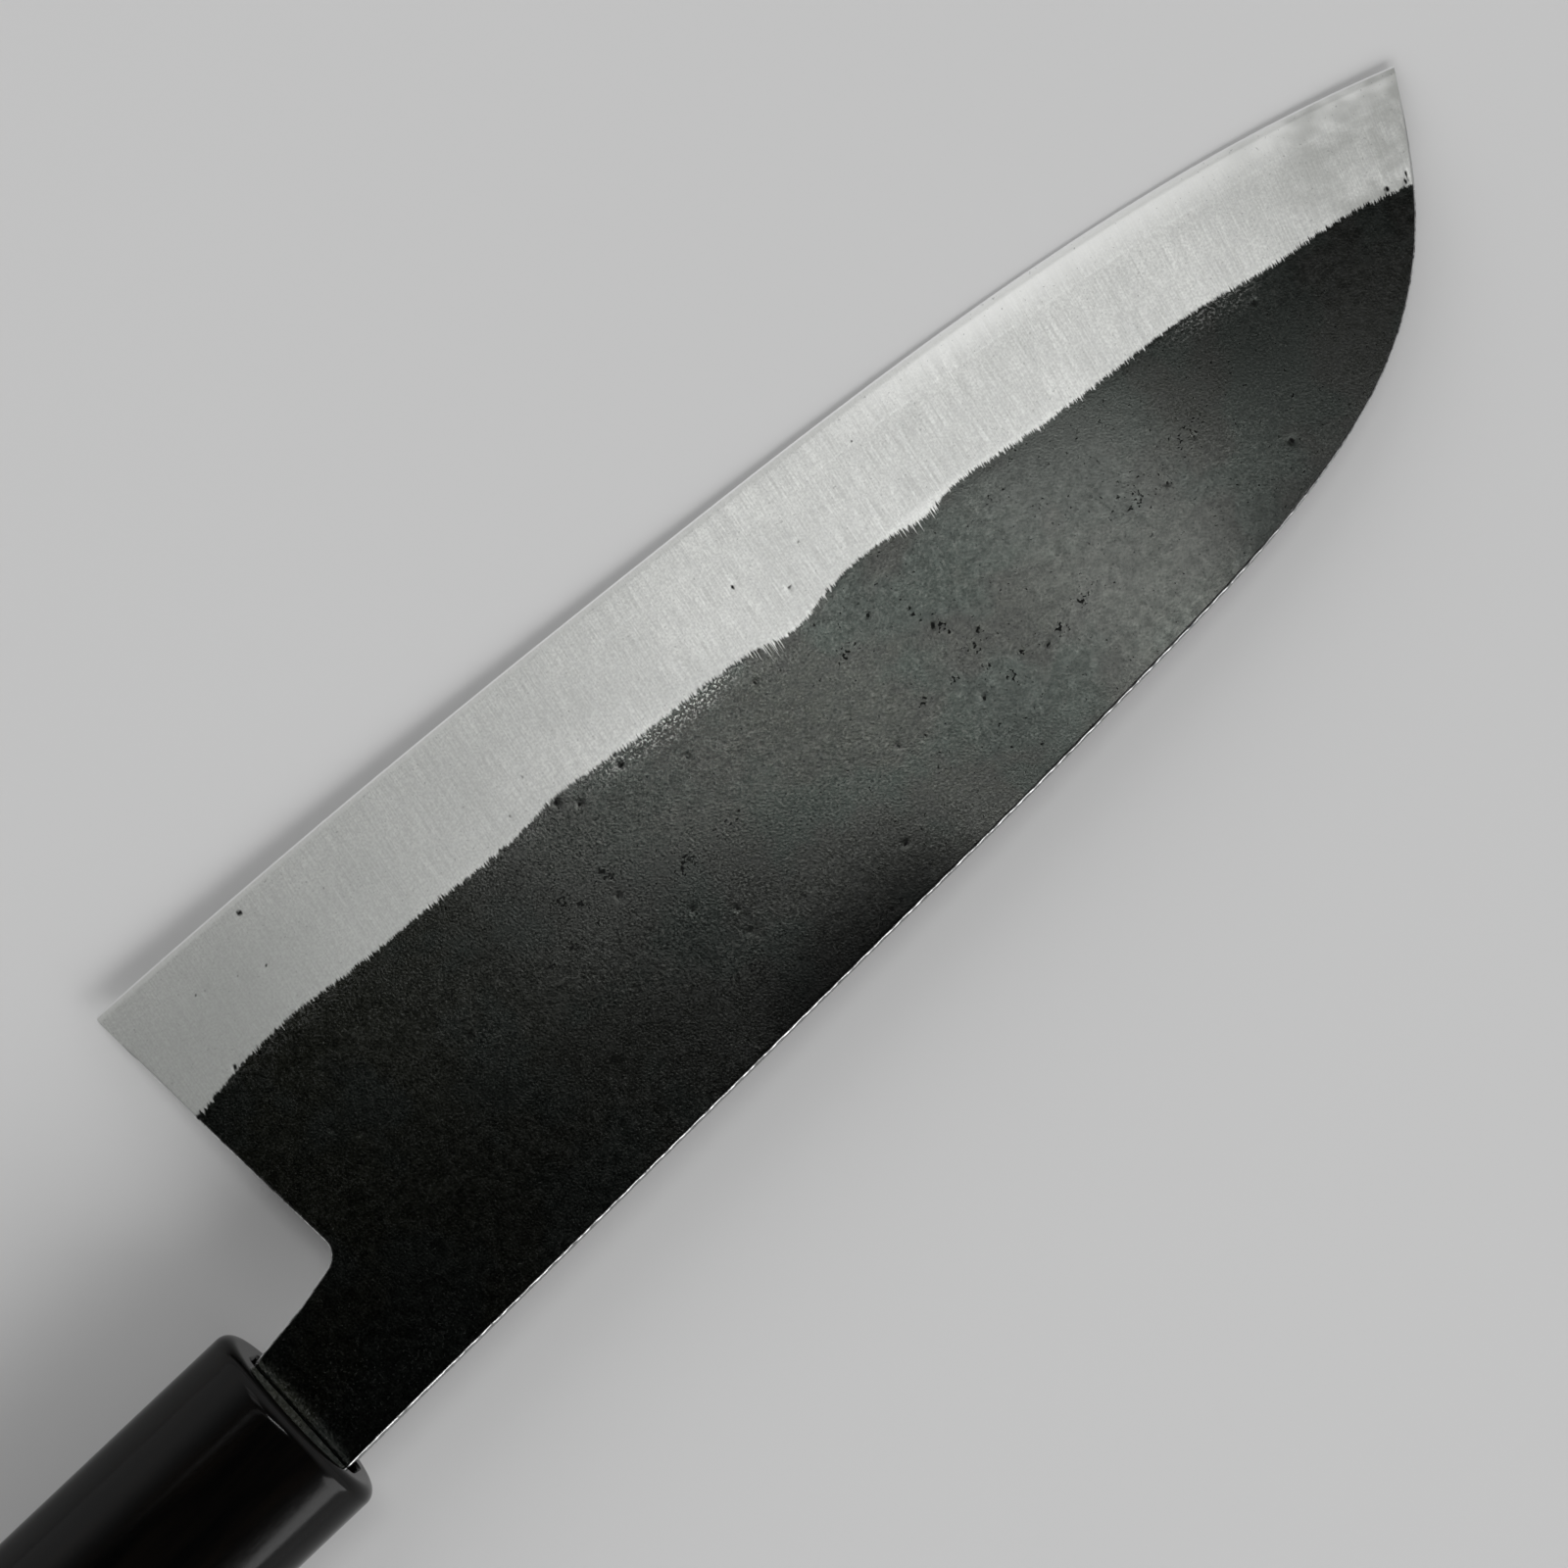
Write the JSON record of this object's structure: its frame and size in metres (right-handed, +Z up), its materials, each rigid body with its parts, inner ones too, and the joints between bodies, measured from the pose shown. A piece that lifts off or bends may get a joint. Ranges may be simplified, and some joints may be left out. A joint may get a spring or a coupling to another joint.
{
  "type": "chef knife",
  "caption": "Chef's knife for cutting food: laminated blade with black forge-scale cheeks and wide ground bevels, glossy black oval ferrule, dark oval wooden handle.",
  "frame": {"origin": "on the surface that the knife lies on, under the middle of its bounding box", "axes": "+X along the knife from the butt to the tip, +Y from the spine towards the cutting edge, +Z up, away from the surface. The knife lies on its right side as it comes to rest on a level board, on the ferrule's front rim and the belly of the edge, so its own axes are turned -8.2 degrees about X and 1.5 degrees about Y"},
  "size_m": [0.3072, 0.0554, 0.0216],
  "materials": {
    "core_steel": "satin, ground square to the edge, with a finer polished line along the edge itself",
    "scaled_iron": "matt black forge scale with pits on the cheek, ground to a pale satin bevel below it",
    "ferrule_horn": "polished black",
    "handle_wood": "ebonised and oiled, satin, with the grain lengthwise",
    "dowel_wood": "bare turned wood",
    "bedding_resin": "cured amber resin",
    "seal_resin": "cured black resin, satin"
  },
  "bodies": {
    "root": {"blade_core": "core_steel", "cladding_left": "scaled_iron", "cladding_right": "scaled_iron", "ferrule": "ferrule_horn", "handle_body": "handle_wood", "handle_dowel": "dowel_wood", "tang_bedding": "bedding_resin", "mouth_seal": "seal_resin"}
  },
  "joints": []
}
